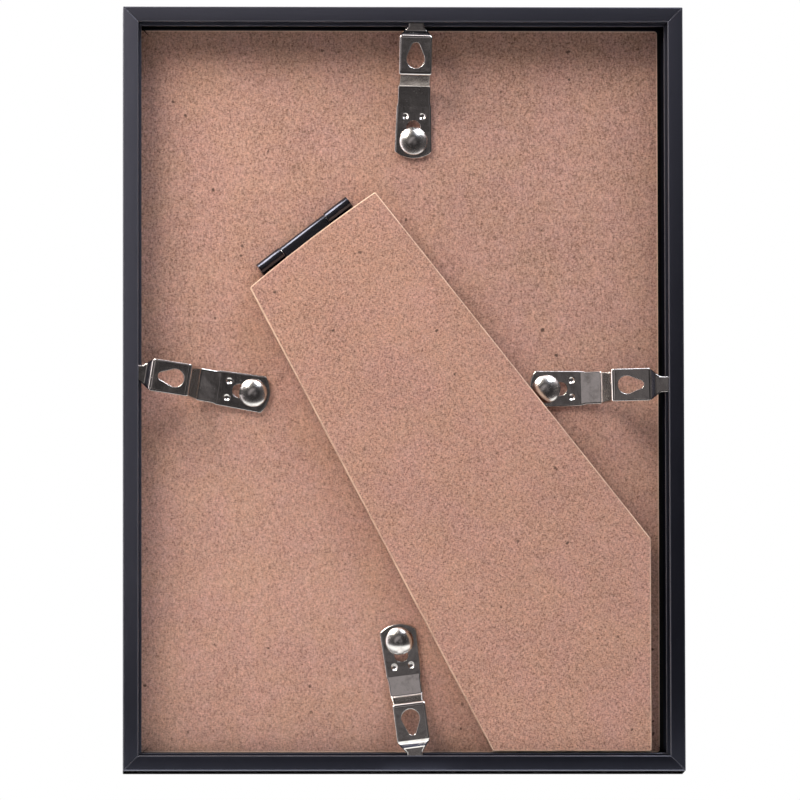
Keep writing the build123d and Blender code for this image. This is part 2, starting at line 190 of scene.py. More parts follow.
# %% [markdown]
# ## Rail black
# The rails are extruded plastic lengths with a satin black skin. The die leaves faint streaks along each
# length, and handling leaves a little dust. Noise in space would cut across the rails, so the streaks read
# two attributes that each rail carries: how far along it a point lies, and how far round its section. A third
# one marks pale edges, partly rubbed and partly a painted highlight. Painted light turns the black grey
# towards the upper left, as one sum of height and side, and paints the left rail paler still. The attribute
# `run` starts at another value on each rail, so it also tells the left one from the others.

# %% Rail black
RUN_STEP, LEFT_RAIL = 0.4, 2
# The second colour is painted light: the grey that the black turns to at the upper left and on the left rail.
CLEAN_BLACK, PAINTED_LIGHT_GREY = (0.0018, 0.0018, 0.0032, 1), (0.0530, 0.0520, 0.0640, 1)
# The first grey is partly rubbed wear and partly a painted highlight on edges and mitres.
RUBBED_AND_HIGHLIGHT_GREY, DUST_GREY = (0.10, 0.098, 0.11, 1), (0.10, 0.095, 0.095, 1)


def rail_black():
    """Black that goes over to grey as painted light at the upper left and on the left rail, to paler greys on
    edges that are partly rubbed and partly a painted highlight, and to specks of dust.
    """
    skin = Finish("rail_black")
    run, girth, worn = (skin.mark(name) for name in ("run", "girth", "worn"))
    x, z = skin.axes("XZ")
    drawn = skin.add("ShaderNodeCombineXYZ", inputs={0: run * 0.02, 1: girth})
    streak = skin.noise(0.45, 3.0, 0.6, drawn)
    cloud = skin.noise(14.0, 3.0)
    grain = skin.noise(0.22, 2.0)
    dust = skin.noise(0.34, 1.0).rise(0.74, 0.82) * skin.noise(9.0, 2.0).rise(0.42, 0.62)
    # Painted light: greyer towards the upper left, where the rails would catch more light.
    upper_left_painted_light = (z + 0.6 * x).rise(-0.03, 0.24)
    # Painted light: the left rail is painted paler than the others.
    left_rail_painted_light = (1 - (run - LEFT_RAIL * RUN_STEP).size().rise(0.15, 0.20)) * z.rise(-0.005, 0.06)
    grey = 0.485 * upper_left_painted_light + 0.066 * cloud + 0.37 * left_rail_painted_light
    # Pale edges and mitres: partly rubbed wear, partly painted highlight lines.
    black = skin.mix(worn * 0.75, skin.mix(grey, CLEAN_BLACK, PAINTED_LIGHT_GREY), RUBBED_AND_HIGHLIGHT_GREY)
    return skin.paint(
        Base_Color=skin.mix(dust * 0.6, black, DUST_GREY),
        Roughness=0.25 + 0.07 * streak + 0.05 * cloud + 0.2 * dust - 0.08 * worn,
        Normal=skin.bump(streak * 0.6 + grain * 0.4, 0.012), IOR=1.45, Specular_Tint=(0.86, 0.90, 1.2, 1))


RAIL_BLACK = rail_black()
print("rail finish:", len(RAIL_BLACK.node_tree.nodes), "nodes")

# %% [markdown]
# ## Hardboard
# Hardboard is wood fibre pressed wet into a sheet: a warm brown face with a salt and pepper of short fibres,
# slow clouds of lighter and darker pulp, and a few dark flecks of bark. Where the saw cuts it, the fibres
# fluff up and look cream. The flecks are Voronoi cells: most cells stay empty, and a chosen few hold one
# small dark spot. One function makes both boards. Panel and strut are cut from two sheets, so they differ in
# colour and grain, and in their pale edge line: a sawn edge on the strut, a painted highlight round the
# panel.
# The panel is also given painted shade, darker towards the top and the right.

# %% Flecks of bark
FLECK_CELL, FLECK_SHIFT, SHIFT_SCALE = 3.4, 1.1, 900.0


def bark_flecks(board, lie):
    """Cells of a grid that is shifted by noise. Each has a lot between 0 and 1, and the higher lots hold a
    spot whose radius grows with the lot."""
    wave = board.add("ShaderNodeTexNoise", inputs={"Vector": lie, "Scale": SHIFT_SCALE}, output="Color")
    shift = board.add("ShaderNodeVectorMath", {"operation": "SCALE"}, {0: wave, "Scale": FLECK_SHIFT * MM})
    where = board.add("ShaderNodeVectorMath", {"operation": "ADD"}, {0: lie, 1: shift})
    cells = {"Vector": where, "Scale": 1 / (FLECK_CELL * MM), "Randomness": 1.0}
    reach = board.add("ShaderNodeTexVoronoi", {"feature": "F1"}, cells)
    colour = board.add("ShaderNodeTexVoronoi", {"feature": "F1"}, cells, "Color")
    lot = board.add("ShaderNodeSeparateColor", inputs={0: colour})
    return lot.rise(0.74, 0.95) * (1 - (reach - 0.11 * lot).rise(-0.03, 0.06))


# %% Hardboard
DARK_SHARE, LIGHT_SHARE = (0.28, 0.225, 0.20), (1.50, 1.55, 1.58)
FLECK_BROWN = srgb(70, 44, 34)
# Sawn fibre colours, also used for the painted highlight line round the panel.
SAWN_AND_HIGHLIGHT_TAN, SAWN_AND_HIGHLIGHT_CREAM = srgb(224, 182, 154), srgb(250, 220, 192)
HUE_SHIFTS = [(1.1, 1.0, (1.012, 0.988, 0.972, 1), (0.988, 1.012, 1.03, 1)),
              (11.0, 2.0, (1.0, 1.01, 0.965, 1), (1.0, 0.99, 1.035, 1))]


def hardboard(name, face, grain, turn, sawn_edge_and_highlight, painted_shade=None):
    """Brown that goes from dark to light with a tone, the sum of crossed fibres and ever slower clouds. A
    fine and a slow shift of hue, the flecks and a pale edge line come on top: sawn fibre on the strut and a
    painted highlight on the panel."""
    board = Finish(name)
    lie = board.place(turn=turn)
    along = board.place((1.0, 1.0, 0.42), turn)
    across = board.place((0.42, 1.0, 1.0), turn)
    fibre = board.noise(0.30, 2.0, 0.65, along) + board.noise(0.27, 2.0, 0.65, across)
    pepper = board.noise(0.62, 1.0, 0.5, lie)
    clump = board.noise(1.5, 2.0, 0.6, lie)
    mottle = board.noise(2.6, 2.0, 0.5, lie)
    cloud = board.noise(17.0, 3.0, 0.55, lie)
    drift = board.noise(70.0, 1.0, 0.5, lie)
    tone = (0.5 + grain * (1.25 * (fibre - 1.0) + 0.75 * (pepper - 0.5)) + 0.30 * (cloud - 0.5)
            + 0.16 * (drift - 0.5) + 0.28 * (mottle - 0.5) - 0.12 * clump.rise(0.55, 0.75))
    # Painted shade, where a board is given it, is added to the tone.
    if painted_shade:
        tone = tone + painted_shade(board)
    dark, light = ((*np.multiply(face[:3], share).tolist(), 1) for share in (DARK_SHARE, LIGHT_SHARE))
    brown = board.mix(tone.rise(-0.42, 0.72), dark, face)
    brown = board.mix(tone.rise(0.34, 1.50), brown, light)
    for size, detail, warm, cool in HUE_SHIFTS:
        shift = board.mix(board.noise(size, detail, 0.5, lie).rise(0.3, 0.7), warm, cool)
        brown = board.add("ShaderNodeMix", {"data_type": "RGBA", "blend_type": "MULTIPLY"},
                          {0: 1.0, 6: brown, 7: shift}, 2)
    # The edge mark is the sawn edge on the strut and a painted highlight line round the panel.
    fleck, edge = bark_flecks(board, lie), sawn_edge_and_highlight(board)
    brown = board.mix(fleck * 0.85, brown, FLECK_BROWN)
    return board.paint(
        Base_Color=board.mix(edge, brown, board.mix(pepper, SAWN_AND_HIGHLIGHT_TAN, SAWN_AND_HIGHLIGHT_CREAM)),
        Roughness=0.62 + 0.16 * pepper + 0.1 * edge,
        Normal=board.bump(fibre * 0.5 + pepper * 0.5 - fleck * 0.4, 0.05), IOR=1.45)


# %% Panel and strut
def panel_painted_highlight_line(board):
    """A pale line, a third of a millimetre wide, along the panel's own outline: a painted highlight in sawn
    cream.
    """
    low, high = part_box("back_panel")
    middle, half = (low + high) / 2, (high - low) / 2
    x, z = board.axes("XZ")
    past_side, past_end = (x - middle.x).size() - half.x, (z - middle.z).size() - half.z
    return past_side.larger(past_end).rise(-0.36 * MM, -0.2 * MM) * 0.6


def panel_painted_shade(board):
    """Painted shade: a little paler low down and darker towards the top and the right."""
    x, z = board.axes("XZ")
    return 0.05 - 0.13 * z.rise(0.05, 0.15) - 0.05 * (1 - x.rise(-0.05, 0.01))


def strut_edge(board):
    """The attribute that marks the strut's sawn sides, which are rubbed darker in places."""
    return board.mark("cut") * (0.55 + 0.45 * board.noise(13.0, 2.0).rise(0.38, 0.58))


# The panel gets a painted highlight line along its outline and painted shade towards the top and right.
PANEL_BOARD = hardboard("panel_hardboard", srgb(189, 144, 125), 1.22, (0, 0, 0), panel_painted_highlight_line, panel_painted_shade)
STRUT_BOARD = hardboard("strut_hardboard", srgb(189, 142, 122), 1.48, (0, 0.66, 0), strut_edge)
print("hardboard:", len(PANEL_BOARD.node_tree.nodes), "nodes")

# %% [markdown]
# ## Plated and painted metal
# The clips are spring steel with bright nickel, the rivets are polished harder, the hinge is rolled from
# sheet and dipped in black lacquer, and its pin is plain drawn steel. Bright metal is mostly a mirror, so
# its character is in what bends the mirror: slow waves of the rolled strip, fine rubbing marks and dull
# patches. A Bump node gives the waves, and roughness gives the patches.

# %% Nickel, lacquer and steel
def nickel(name, dull, waves):
    """Bright metal, bent by slow waves and dulled where it is stained, scuffed or pitted."""
    metal = Finish(name)
    wave, bow = metal.noise(3.4, 2.0, 0.45), metal.noise(9.0, 1.0)
    rub = metal.noise(0.16, 2.0, 0.6, metal.place((1.0, 1.0, 0.06), (0, 0.9, 0)))
    stain = metal.noise(3.2, 3.0, 0.6).rise(0.45, 0.75)
    scuff = metal.noise(0.55, 2.0, 0.6).rise(0.52, 0.74) * stain
    pit = metal.noise(0.42, 1.0).rise(0.74, 0.82)
    shine = metal.mix(stain, (0.70, 0.665, 0.63, 1), (0.56, 0.525, 0.49, 1))
    return metal.paint(
        Base_Color=metal.mix(pit * 0.55, shine, (0.20, 0.18, 0.165, 1)), Metallic=1.0,
        Roughness=dull + 0.07 * stain + 0.06 * rub + 0.16 * scuff + 0.15 * pit,
        Normal=metal.bump(wave * 0.8 + bow * 2.4 + rub * 0.02 - pit * 0.05, waves))


def hinge_lacquer():
    """Glossy black with a faint orange peel, worn to the primer in a few places."""
    coat = Finish("hinge_lacquer")
    peel = coat.noise(0.9, 2.0)
    worn = coat.noise(0.5, 3.0, 0.65).rise(0.66, 0.8) * coat.noise(6.0, 1.0).rise(0.5, 0.7)
    return coat.paint(
        Base_Color=coat.mix(worn * 0.5, (0.007, 0.0068, 0.0075, 1), (0.12, 0.11, 0.10, 1)),
        Roughness=0.16 + 0.12 * peel + 0.2 * worn,
        Normal=coat.bump(peel, 0.02), IOR=1.52, Specular_Tint=(0.88, 0.93, 1.2, 1))


def drawn_steel():
    """Wire with drawing lines along it and dark smut."""
    pin = Finish("drawn_pin_steel")
    line = pin.noise(0.2, 3.0, 0.6, pin.place((0.05, 1.0, 1.0), (0, 0.6545, 0)))
    smut = pin.noise(1.4, 2.0).rise(0.45, 0.75)
    return pin.paint(
        Base_Color=pin.mix(smut, (0.46, 0.45, 0.44, 1), (0.20, 0.185, 0.17, 1)), Metallic=1.0,
        Roughness=0.24 + 0.18 * line + 0.15 * smut, Normal=pin.bump(line, 0.006))


CLIP_NICKEL = nickel("clip_nickel", 0.10, 0.055)
RIVET_NICKEL = nickel("rivet_nickel", 0.18, 0.012)
HINGE_LACQUER, PIN_STEEL = hinge_lacquer(), drawn_steel()
print("metals:", [finish.name for finish in (CLIP_NICKEL, RIVET_NICKEL, HINGE_LACQUER, PIN_STEEL)])

# %% [markdown]
# ## Glass, paper and key plastic
# From the front one looks through the pane at a plain blank sheet. Its back is painted black: painted shade
# where it shows in the gap between panel and rails. The pane is real glass here, so it casts no shadow, or
# the sheet behind it would go dark. The keys that hold the mitres are rough grey plastic.

# %% Glass, paper and key plastic
def pane_glass():
    """Clear glass that a few wiped smears make a little less smooth."""
    pane = Finish("pane_glass")
    smear = pane.noise(22.0, 3.0, 0.6).rise(0.5, 0.8)
    return pane.paint(Base_Color=(0.97, 0.985, 0.975, 1), Roughness=0.006 + 0.03 * smear,
                      Transmission_Weight=1.0, IOR=1.5)


def blank_paper():
    """Cloudy white paper, painted black as painted shade where its face looks towards the panel."""
    sheet = Finish("blank_paper")
    pulp, tooth = sheet.noise(5.0, 4.0, 0.6), sheet.noise(0.18, 2.0)
    facing = sheet.add("ShaderNodeNewGeometry", output="Normal")
    back = sheet.add("ShaderNodeSeparateXYZ", inputs={0: facing}, output=1).rise(0.2, 0.6)
    pale = sheet.mix(pulp, (0.74, 0.735, 0.71, 1), (0.82, 0.815, 0.80, 1))
    # The back is painted shade: black where the sheet shows in the gap round the panel.
    return sheet.paint(Base_Color=sheet.mix(back, pale, (0.012, 0.012, 0.013, 1)),
                       Roughness=0.74 + 0.14 * tooth, Normal=sheet.bump(tooth, 0.02), IOR=1.45)


def key_plastic():
    """Dark plastic with flow marks and grit."""
    key = Finish("key_plastic")
    flow, grit = key.noise(4.0, 3.0), key.noise(0.25, 2.0)
    return key.paint(Base_Color=key.mix(flow, (0.018, 0.018, 0.020, 1), (0.034, 0.034, 0.037, 1)),
                     Roughness=0.58 + 0.2 * grit, Normal=key.bump(grit, 0.03), IOR=1.48)


dressed = {"back_panel": PANEL_BOARD, "glass": pane_glass(), "insert_sheet": blank_paper()}
keys = [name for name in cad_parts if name.startswith("corner_key")]
dressed.update(dict.fromkeys(keys, key_plastic()))
for name, finish in dressed.items():
    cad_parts[name].data.materials.clear()
    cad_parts[name].data.materials.append(finish)
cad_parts["glass"].visible_shadow = False
print("CAD pieces with a new finish:", ", ".join(dressed))

# %% [markdown]
# ## From numbers to a piece
# Every new piece is a few grids of points. `grid_faces` numbers the quads of a grid, `tube_faces` those of a
# stack of rings, and `put_piece` joins the grids into one mesh, merges the points they share, turns all faces
# outwards, hangs the piece on the body it rides on and hides the CAD solids it stands for. It prints how far
# the piece's box is from theirs, so that a slip shows at once.

# %% Grids and pieces
def grid_faces(rows, columns, ring=False):
    """Quads over points counted row by row; a ring joins each row's end to its start."""
    row = np.arange(rows - 1)[:, None] * columns
    here = np.arange(columns if ring else columns - 1)[None, :]
    there = (here + 1) % columns
    corners = (row + here, row + there, row + columns + there, row + columns + here)
    return np.stack(corners, -1).reshape(-1, 4)


def tube_faces(rings, count):
    """Quads round a stack of equal rings, and one face that closes each end."""
    first = np.arange(count)
    return [grid_faces(rings, count, ring=True), first[::-1], first + (rings - 1) * count]


def put_piece(name, patches, body, nodes, slot, finish, sharp=38, **marks):
    """Joins patches, each points in millimetres with blocks of faces, into one piece on a body."""
    starts = np.cumsum([0] + [len(points) for points, _ in patches])
    points = np.concatenate([points for points, _ in patches])
    faces = [face for start, (_, blocks) in zip(starts, patches)
             for block in blocks for face in (np.atleast_2d(block) + start).tolist()]
    mesh = bpy.data.meshes.new(name)
    mesh.from_pydata((points * MM).tolist(), [], faces)
    for mark, values in marks.items():
        layer = mesh.attributes.new(mark, "FLOAT", "POINT")
        layer.data.foreach_set("value", np.ascontiguousarray(values, np.float32))
    shell = bmesh.new()
    shell.from_mesh(mesh)
    bmesh.ops.remove_doubles(shell, verts=shell.verts, dist=2e-7)
    bmesh.ops.recalc_face_normals(shell, faces=shell.faces)
    shell.to_mesh(mesh)
    shell.free()
    mesh.polygons.foreach_set("use_smooth", np.ones(len(mesh.polygons), bool))
    mesh.set_sharp_from_angle(angle=np.radians(sharp))
    mesh.materials.append(finish)
    piece = bpy.data.objects.new(name, mesh)
    bpy.context.scene.collection.objects.link(piece)
    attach(piece, body)
    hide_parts(*nodes)
    boxes = np.array([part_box(node) for node in nodes]) / MM
    off = np.abs([points.min(0) - boxes[:, 0].min(0), points.max(0) - boxes[:, 1].max(0)]).max()
    print(f"{name}: {len(mesh.polygons)} faces, within {off:.2f} mm of the CAD box")


print("a 3 by 4 grid has", len(grid_faces(3, 4)), "quads")

# %% [markdown]
# ## Loops
# Most of these pieces start as a flat outline. Its corners could be left to a Bevel modifier, but an outline
# that is rounded before it becomes a solid keeps exact sizes. Each corner becomes a short curve that leaves
# one side and joins the next, and `inset` moves a whole loop inwards along its own normals, which is how
# broken edges and plating rounds are made further down.

# %% Loops
def box_corners(left, low, right, high):
    """The corners of a rectangle, anticlockwise."""
    return [(left, low), (right, low), (right, high), (left, high)]


def round_corners(corners, radii, steps=6):
    """A closed loop whose corners are quadratic curves: each starts and ends radius x tan(turn / 2) from
    its corner, and passes through start (1-s)^2 + corner 2s(1-s) + end s^2."""
    corners = np.asarray(corners, float)
    back, ahead = np.roll(corners, 1, 0) - corners, np.roll(corners, -1, 0) - corners
    back /= np.linalg.norm(back, axis=1, keepdims=True)
    ahead /= np.linalg.norm(ahead, axis=1, keepdims=True)
    turn = np.pi - np.arccos(np.clip((back * ahead).sum(1), -1, 1))
    reach = (np.broadcast_to(radii, len(corners)) * np.tan(turn / 2))[:, None]
    share = np.linspace(0, 1, steps)[None, :, None]
    start, end = (corners + back * reach)[:, None], (corners + ahead * reach)[:, None]
    curve = start * (1 - share) ** 2 + corners[:, None] * 2 * share * (1 - share) + end * share ** 2
    return curve.reshape(-1, 2)


def inset(loop, distance):
    """The loop moved inwards (for a loop that runs anticlockwise) along the mean of its sides' normals."""
    side = np.roll(loop, -1, 0) - loop
    length = np.linalg.norm(side, axis=1, keepdims=True)
    side = side / np.where(length > 1e-9, length, 1)
    inward = np.stack([-side[:, 1], side[:, 0]], -1)
    mean = inward + np.roll(inward, 1, 0)
    mean /= np.maximum(np.linalg.norm(mean, axis=1, keepdims=True), 1e-9)
    return loop + mean * distance


def plate(loop, sections, place):
    """A solid from one loop: each section (inset, height) is the loop drawn in and raised, and the first
    and last are closed. place turns loop and height into the frame's millimetres."""
    rings = [place(*inset(loop, shy).T, np.full(len(loop), height)) for shy, height in sections]
    return np.concatenate(rings), tube_faces(len(rings), len(loop))


def from_behind(right, up, out):
    """Places seen from behind, in millimetres right and up of the frame's middle and out of the panel."""
    return np.stack([-right, PANEL_FACE + out, HEIGHT / 2 + up], -1)


print("a square with round corners has", len(round_corners(box_corners(0, 0, 9, 9), 2.0)), "points")

# %% [markdown]
# ## The rails
# Each rail is one hollow looking section: a thin outer wall, a front lip that holds the glass, and at the
# back a flange with a groove where the clips' tongues sit. A profile carried along a path gives it, and the
# mitre is simply that points further in from the outer face stop earlier. The last fifth of a millimetre is
# drawn in a little and painted pale, partly as rubbing and partly as a painted highlight, so that two rails
# meet in a fine light line.

# %% Rails
SECTION = [(-7.5, 0), (7.3, 0), (7.5, 2.2), (7.5, 3.8), (6.3, 3.8), (6.3, 1.0), (4.9, 1.0), (4.9, 4.6),
           (3.9, 4.6), (3.9, 3.8), (-5.3, 3.8), (-5.3, 9.0), (-7.5, 9.0)]
SECTION_ROUNDS = [1.2, 0.4, 14.0, 0.4, 0.12, 0.1, 0.1, 0.25, 0.14, 0.1, 0.1, 0.15, 0.8]
# Paler edges of the section: partly rubbed wear, partly painted highlight lines.
SECTION_WORN_AND_HIGHLIT = [0, 0.6, 0, 1, 0, 0, 0, 0.8, 0, 0, 0, 0.3, 0.5]
ROUND_WORN_AND_HIGHLIT = [0, 0.6, 1, 1, 1, 0.6, 0]
MITRE_BACK, MITRE_SHY = np.array([0.0, 0.03, 0.1, 0.22]), np.array([0.15, 0.06, 0.015, 0.0])
# A pale mitre line: partly rubbed wear, partly a painted highlight.
MITRE_WORN_AND_HIGHLIT = np.array([0.6, 1, 0.8, 0])


def rail(length):
    """The section (depth, distance from the outer face) at eight stations: at a station set back e from the
    mitre, a point d in from the outer face lies at length / 2 - d - e from the rail's middle."""
    loop = round_corners(SECTION, SECTION_ROUNDS, len(ROUND_WORN_AND_HIGHLIT))
    rings = np.stack([inset(loop, shy) for shy in MITRE_SHY])
    along = length / 2 - rings[..., 1] - MITRE_BACK[:, None]
    along, rings = np.concatenate([-along, along[::-1]]), np.concatenate([rings, rings[::-1]])
    girth = np.cumsum(np.linalg.norm(loop - np.roll(loop, 1, 0), axis=1))
    # The worn mark: partly rubbed wear, partly painted highlight along edges and mitres.
    mitre = np.concatenate([MITRE_WORN_AND_HIGHLIT, MITRE_WORN_AND_HIGHLIT[::-1]])
    worn = np.maximum.outer(mitre, np.outer(SECTION_WORN_AND_HIGHLIT, ROUND_WORN_AND_HIGHLIT).ravel())
    return along, *np.moveaxis(rings, -1, 0), np.broadcast_to(girth, along.shape), worn


RAILS = {"rail_bottom": (WIDTH, lambda x, y, d: (x, y, d)),
         "rail_top": (WIDTH, lambda x, y, d: (-x, y, HEIGHT - d)),
         "rail_left": (HEIGHT, lambda x, y, d: (WIDTH / 2 - d, y, HEIGHT / 2 + x)),
         "rail_right": (HEIGHT, lambda x, y, d: (d - WIDTH / 2, y, HEIGHT / 2 - x))}
for number, (node, (length, lay)) in enumerate(RAILS.items()):
    x, y, d, girth, worn = rail(length)
    points = np.stack(lay(x, y, d), -1).reshape(-1, 3)
    put_piece(node.replace("rail", "moulded_rail"), [(points, tube_faces(*x.shape))], "frame", [node],
              "black_rail", RAIL_BLACK,
              run=x.ravel() * MM + RUN_STEP * number, girth=girth.ravel() * MM, worn=worn.ravel())

# %% [markdown]
# ## The strut
# The easel leg is one flat hardboard shape: a slightly crowned top that follows the hinge, a long slanted
# side, a foot for standing upright and a side for standing across. A plate from its outline is all it needs,
# but the saw leaves a bright line, so the edge is broken and the attribute `cut` marks sides and edges.

# %% Strut
TILT = np.radians(37.5)
ALONG, DOWN = np.array([np.cos(TILT), np.sin(TILT)]), np.array([np.sin(TILT), -np.cos(TILT)])
HINGE_AT, HINGE_OUT = np.array([-24.4, 38.4]), 1.6
TOP_DROP, TOP_SHIFT, TOP_HALF, TOP_BOW = 2.2, 0.7, 19.6, 0.5
SIDE, SIDE_SLOPE = 61.2, np.tan(np.radians(51.7))
FOOT, FOOT_WIDTH = -90.0, 39.2
BOW_ROUND, CORNER_ROUND = 100.0, 0.55
STRUT_EDGE = [(0.30, 3.0), (0.20, 3.0), (0.0, 3.16), (0.0, 5.42), (0.04, 5.54), (0.12, 5.6), (0.24, 5.6),
              (0.34, 5.6)]
STRUT_CUT = [0, 1, 1, 1, 1, 1, 0.8, 0]


def strut_outline():
    """Corners clockwise from behind, with the top edge bowed by bow x (1 - s^2), and then turned round."""
    top = HINGE_AT + DOWN * TOP_DROP + ALONG * TOP_SHIFT
    left, right = top - ALONG * TOP_HALF, top + ALONG * TOP_HALF
    shoulder = (SIDE, right[1] - (SIDE - right[0]) * SIDE_SLOPE)
    share = np.linspace(-1, 1, 11)[1:-1, None]
    crown = top + ALONG * TOP_HALF * share - DOWN * TOP_BOW * (1 - share ** 2)
    corners = [right, shoulder, (SIDE, FOOT), (SIDE - FOOT_WIDTH, FOOT), left]
    rounds = [BOW_ROUND] * len(crown) + [CORNER_ROUND] * len(corners)
    return round_corners(np.concatenate([corners, crown])[::-1], rounds, 5)


strut_loop = strut_outline()
put_piece("sawn_strut", [plate(strut_loop, STRUT_EDGE, from_behind)], "strut", ["strut"], "hardboard",
          STRUT_BOARD, cut=np.repeat(STRUT_CUT, len(strut_loop)))

# %% [markdown]
# ## The hinge
# Two leaves of thin sheet are rolled round one pin, the panel's leaf at both ends and the strut's in the
# middle. A tube and a plate would look like that from afar, but a rolled knuckle shows its open seam and the
# sheet's thickness. So each knuckle is the outline of sheet that runs in flat and curls most of the way
# round, carried along the pin, and each leaf is a plate with rounded corners and four claws that bite into
# the board.

# %% Hinge
HINGE_X, HINGE_Y = (np.array([-right, 0, up]) for right, up in (ALONG, -DOWN))
HINGE_FROM = from_behind(*HINGE_AT, HINGE_OUT)
KNUCKLE_RUN, CURL = 2.1, np.radians(np.linspace(-90, 190, 64))
KNUCKLE_BREAK = [(0.04, 0.0), (0.01, 0.01), (0.0, 0.04)]
LEAF_HALF, LEAF_TOP, LEAF_FOOT, LEAF_ROUNDS, LEAF_BREAK = 14, -2, -15, [2, 2, 0.1, 0.1], 0.08
CLAW_HALF, CLAW_LENGTH, CLAW_POINT = 1.1, 1.6, 0.15
CLAWS = [(along, up) for along in (-11.4, 11.4) for up in (-4.6, -12.4)]


def at_hinge(along, up, out):
    """Places measured along the pin, up the panel across it, and out of the panel from its axis."""
    return HINGE_FROM + np.outer(along, HINGE_X) + np.outer(up, HINGE_Y) + np.outer(out, (0, 1, 0))


def across_hinge(up, out, along):
    """The same for a section that lies across the pin and is carried along it."""
    return at_hinge(along, up, out)


def knuckle_outline(radius, sheet, flip):
    """Sheet of a given thickness that runs in flat for 2.1 mm and then follows a circle for 280 degrees:
    the outer edge out, a rounded end, and the inner edge back."""
    ring = np.stack([np.cos(CURL), np.sin(CURL)], -1)
    lip = np.linspace(0, np.pi, 7)[1:-1, None]
    outwards, onwards = ring[-1], np.array([-ring[-1][1], ring[-1][0]])
    end = outwards * (radius - sheet / 2) + sheet / 2 * (outwards * np.cos(lip) + onwards * np.sin(lip))
    loop = np.concatenate([[(-KNUCKLE_RUN, -radius)], ring * radius, end, ring[::-1] * (radius - sheet),
                           [(-KNUCKLE_RUN, sheet - radius)]])
    return loop if flip > 0 else (loop * (1, -1))[::-1]


def hinge_leaf(radius, sheet, flip, knuckles):
    """A rounded leaf, its knuckles and its claws; flip is -1 where the sheet lies away from the panel."""
    leaf = round_corners(box_corners(-LEAF_HALF, LEAF_FOOT, LEAF_HALF, LEAF_TOP), LEAF_ROUNDS, 8)
    low, high = sorted((-radius * flip, (sheet - radius) * flip))
    edge = [(LEAF_BREAK, low), (0.0, low + LEAF_BREAK), (0.0, high - LEAF_BREAK), (LEAF_BREAK, high)]
    patches = [plate(leaf, edge, at_hinge)]
    outline = knuckle_outline(radius, sheet, flip)
    for start, end in knuckles:
        ends = [(shy, start + back) for shy, back in KNUCKLE_BREAK]
        ends += [(shy, end - back) for shy, back in KNUCKLE_BREAK[::-1]]
        patches.append(plate(outline, ends, across_hinge))
    claw = round_corners(box_corners(-CLAW_HALF, -sheet / 2, CLAW_HALF, sheet / 2), 0.1, 3)
    bite = [(0.0, 0.0), (0.0, CLAW_LENGTH - CLAW_POINT), (CLAW_POINT, CLAW_LENGTH)]
    sections = [(shy, -(radius + depth) * flip) for shy, depth in bite]
    return patches + [plate(claw + place, sections, at_hinge) for place in CLAWS]


put_piece("rolled_panel_leaf", hinge_leaf(1.6, 0.65, 1, [(-14, -7), (7, 14)]), "frame", ["hinge_panel_leaf"],
          "black_hinge", HINGE_LACQUER)
put_piece("rolled_strut_leaf", hinge_leaf(1.4, 0.45, -1, [(-6.85, 6.85)]), "strut", ["hinge_strut_leaf"],
          "black_hinge", HINGE_LACQUER)

# %% [markdown]
# ## Turned pieces
# The pin and the rivets are round, so each is a short profile spun about its axis. Blender's Spin or Screw
# would do, but a grid of angle by profile point is one line of numpy and leaves no modifier behind. A rivet's
# dome is a shallow cap of a sphere over a thin rim, and its tail flares inside the panel.

# %% Pin and rivets
PLACES = {"top": (2.7, 62.2, 88.8), "left": (-37.2, -0.7, 171.0),
          "right": (35.6, 0.3, 1.5), "bottom": (-1.0, -62.4, 277.3)}
PIN = [(0.6, -14), (0.82, -13.92), (0.9, -13.75), (0.9, 13.75), (0.82, 13.92), (0.6, 14)]
RIVET_TAIL = [(2.6, -2.4), (1.55, -1.2), (1.5, -1.1), (1.5, 1.0)]
RIVET_RIM = [(3.40, 1.0), (3.47, 1.03), (3.5, 1.09), (3.5, 1.19), (3.47, 1.245)]
DOME_TOP, DOME_RADIUS, DOME_REACH, DOME_FLAT = 2.6, 5.212, 3.42, 0.012


def turned(profile, place, count=72):
    """A profile of (radius, height) spun about its axis: radius x cos, radius x sin, height."""
    angle = np.linspace(0, 2 * np.pi, count, endpoint=False)
    radius, height = np.asarray(profile, float).T
    spun = [np.outer(radius, wave(angle)).ravel() for wave in (np.cos, np.sin)]
    return place(*spun, np.repeat(height, count)), tube_faces(len(radius), count)


def at_rivet(side):
    """Places measured from a rivet: along its clip towards the tongue, across it, and out of the panel."""
    right, up, heading = PLACES[side]
    cos, sin = np.cos(np.radians(heading)), np.sin(np.radians(heading))
    return lambda along, across, out: from_behind(
        right + along * cos - across * sin, up + along * sin + across * cos, out)


put_piece("drawn_pin", [turned(PIN, across_hinge, 40)], "frame", ["hinge_pin"], "pin_steel", PIN_STEEL)

slope = np.linspace(np.arcsin(DOME_REACH / DOME_RADIUS), DOME_FLAT, 22)
dome = np.stack([DOME_RADIUS * np.sin(slope), DOME_TOP - DOME_RADIUS * (1 - np.cos(slope))], -1)
rivet = np.concatenate([RIVET_TAIL, RIVET_RIM, dome])
for side in PLACES:
    put_piece(f"domed_rivet_{side}", [turned(rivet, at_rivet(side))], f"rivet_{side}", [f"rivet_{side}"],
              "nickel_plate", RIVET_NICKEL)

# %% [markdown]
# ## The turn clips
# A turn clip is one stamping: a rounded base that slides on its rivet in a slot, two dimples that stop it
# from rocking, a ramp, a steep step, a raised plate with a pear shaped hole for a nail, and a narrow tongue.
# Cutting holes with a Boolean would leave ragged shading, so the flat blank is laid out first as a few grids
# that already flow round the slot and the hole. Then every point is lifted onto the bent middle line of the
# sheet, half a thickness to each side.

# %% The bent middle line
SHEET, BEND = 0.6, 0.9
EDGE, HOLE_EDGE, BREAK = 0.42, 0.16, 0.26
BENT_LINE = np.array([(-4.3, 0.6), (8.6, 0.6), (13.9, 1.4), (16.2, 7.3), (25.4, 7.3), (26.8, 6.1),
                      (31.0, 6.1)])


